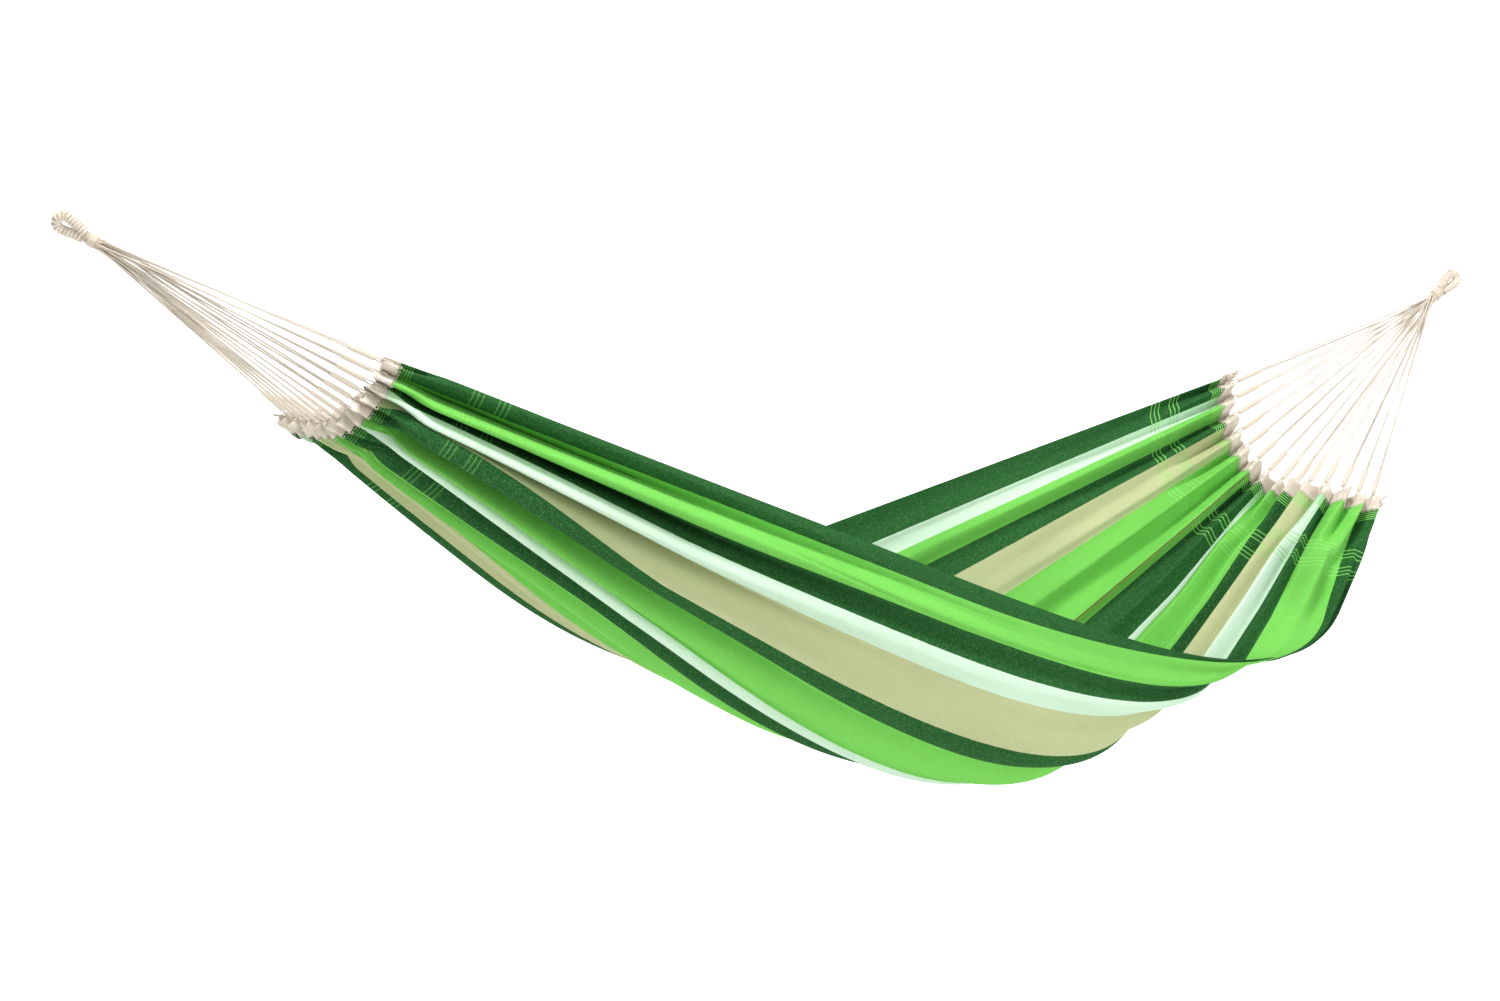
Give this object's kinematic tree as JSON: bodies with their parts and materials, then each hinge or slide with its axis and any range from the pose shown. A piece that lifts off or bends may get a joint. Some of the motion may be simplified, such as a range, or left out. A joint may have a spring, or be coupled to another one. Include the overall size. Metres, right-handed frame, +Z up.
{
  "type": "cloth hammock",
  "caption": "Striped woven cotton hammock bed with pleated canvas headers, fans of doubled suspension cords and a served rope hanging loop at each end.",
  "frame": {"origin": "seat of the left hook, on the inner side of the left loop's eye", "axes": "+X level towards the right hook, +Z up, -Y the near side with the lower rim"},
  "size_m": [3.0987, 0.607, 1.1314],
  "materials": {
    "striped_cloth": "plain woven cotton with warp stripes in greens and off-white",
    "seam_thread": "sewn seam in ochre and brown thread",
    "header_canvas": "unbleached canvas tape",
    "cotton_cord": "unbleached twisted cotton",
    "whipping_twine": "tightly wound cotton twine",
    "loop_rope": "bundled cotton rope"
  },
  "bodies": {
    "left_loop": {"left_loop_core": "loop_rope", "left_loop_serving": "whipping_twine", "left_neck_seizing": "whipping_twine"},
    "bed": {"near_panel": "striped_cloth", "far_panel": "striped_cloth", "centre_seam": "seam_thread", "left_header": "header_canvas", "right_header": "header_canvas", "left_cord_sleeves": "whipping_twine", "right_cord_sleeves": "whipping_twine", "left_cord_01": "cotton_cord", "left_cord_02": "cotton_cord", "left_cord_03": "cotton_cord", "left_cord_04": "cotton_cord", "left_cord_05": "cotton_cord", "left_cord_06": "cotton_cord", "left_cord_07": "cotton_cord", "left_cord_08": "cotton_cord", "left_cord_09": "cotton_cord", "left_cord_10": "cotton_cord", "left_cord_11": "cotton_cord", "left_cord_12": "cotton_cord", "left_cord_13": "cotton_cord", "left_cord_14": "cotton_cord", "right_cord_01": "cotton_cord", "right_cord_02": "cotton_cord", "right_cord_03": "cotton_cord", "right_cord_04": "cotton_cord", "right_cord_05": "cotton_cord", "right_cord_06": "cotton_cord", "right_cord_07": "cotton_cord", "right_cord_08": "cotton_cord", "right_cord_09": "cotton_cord", "right_cord_10": "cotton_cord", "right_cord_11": "cotton_cord", "right_cord_12": "cotton_cord", "right_cord_13": "cotton_cord", "right_cord_14": "cotton_cord"},
    "right_loop": {"right_loop_core": "loop_rope", "right_loop_serving": "whipping_twine", "right_neck_seizing": "whipping_twine"}
  },
  "joints": [
    {"name": "swing", "type": "hinge", "parent": "left_loop", "child": "bed", "pos_m": [0.08012, 0, -0.048], "axis": [1, 0, 0], "range_deg": [-25, 25]},
    {"name": "right_loop_turn", "type": "hinge", "parent": "bed", "child": "right_loop", "pos_m": [2.99345, 0, -0.048], "axis": [1, 0, 0], "range_deg": [-25, 25]}
  ],
  "couplings": [
    {"joint": "right_loop_turn", "follows": "swing", "ratio": -1}
  ]
}
